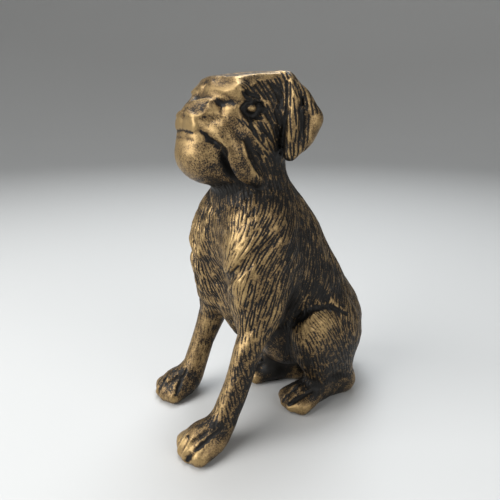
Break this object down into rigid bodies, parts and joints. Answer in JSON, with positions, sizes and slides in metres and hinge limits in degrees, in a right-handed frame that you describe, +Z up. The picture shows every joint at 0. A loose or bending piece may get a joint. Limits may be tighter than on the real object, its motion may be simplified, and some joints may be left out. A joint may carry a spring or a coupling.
{
  "type": "sitting dog statue",
  "caption": "Cast iron figure of a short-haired dog that sits upright with spread forelegs, folded ears, a heavy blunt muzzle and a carved coat.",
  "frame": {"origin": "on the ground plane, in the middle of the figure's bounding box seen from above", "axes": "+Z up, the dog faces -Y and its left side is +X"},
  "size_m": [0.074, 0.132, 0.1698],
  "materials": {
    "old_gold_iron": "semi-gloss antique gold rubbed over black in the recesses"
  },
  "bodies": {
    "root": {"dog_casting": "old_gold_iron"}
  },
  "joints": []
}
